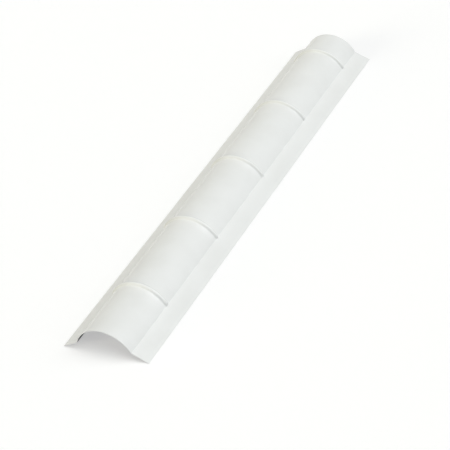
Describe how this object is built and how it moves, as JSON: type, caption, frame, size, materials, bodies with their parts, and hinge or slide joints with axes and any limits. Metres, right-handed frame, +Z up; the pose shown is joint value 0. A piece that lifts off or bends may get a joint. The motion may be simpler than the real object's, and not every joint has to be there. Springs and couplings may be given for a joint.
{
  "type": "roof ridge cap",
  "caption": "Half-round roof ridge cap of painted sheet steel, with a sloping flange along each side and raised stiffening beads across its arch, laid along a roof's ridge.",
  "frame": {"origin": "middle of the cap's footprint, at mid-length, on the level floor that its two flange edges rest on", "axes": "+X across the cap, +Y along the ridge towards the plain lap end, +Z up out of the crown"},
  "size_m": [0.35, 2, 0.1143],
  "materials": {
    "painted_sheet": "satin white polyester coil paint, with a dark grey backing coat underneath"
  },
  "bodies": {
    "root": {"ridge_cap": "painted_sheet"}
  },
  "joints": []
}
